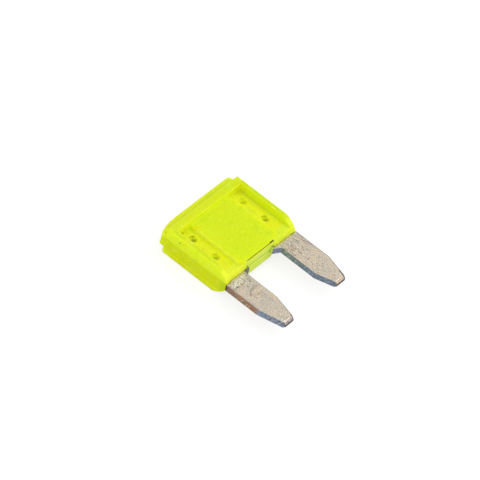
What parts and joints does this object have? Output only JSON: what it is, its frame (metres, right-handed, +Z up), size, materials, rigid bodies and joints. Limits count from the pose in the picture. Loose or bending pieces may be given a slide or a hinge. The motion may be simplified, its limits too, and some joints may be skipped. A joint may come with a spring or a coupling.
{
  "type": "automotive blade fuse",
  "caption": "Automotive blade fuse with a translucent fluorescent yellow housing over a stamped metal element with flat tapered blades, lying on its back.",
  "frame": {"origin": "Middle of the bounding box in X and Y, on the surface that the fuse lies on (Z = 0).", "axes": "+X to the right seen from the front, +Y from the blades towards the crown, +Z up, out of the front face."},
  "size_m": [0.011, 0.0164, 0.0036],
  "materials": {
    "housing_plastic": "translucent fluorescent yellow moulding, satin gloss",
    "element_metal": "matt plated zinc alloy, scuffed and slightly dulled"
  },
  "bodies": {
    "root": {"housing": "housing_plastic", "fuse_element": "element_metal"}
  },
  "joints": []
}
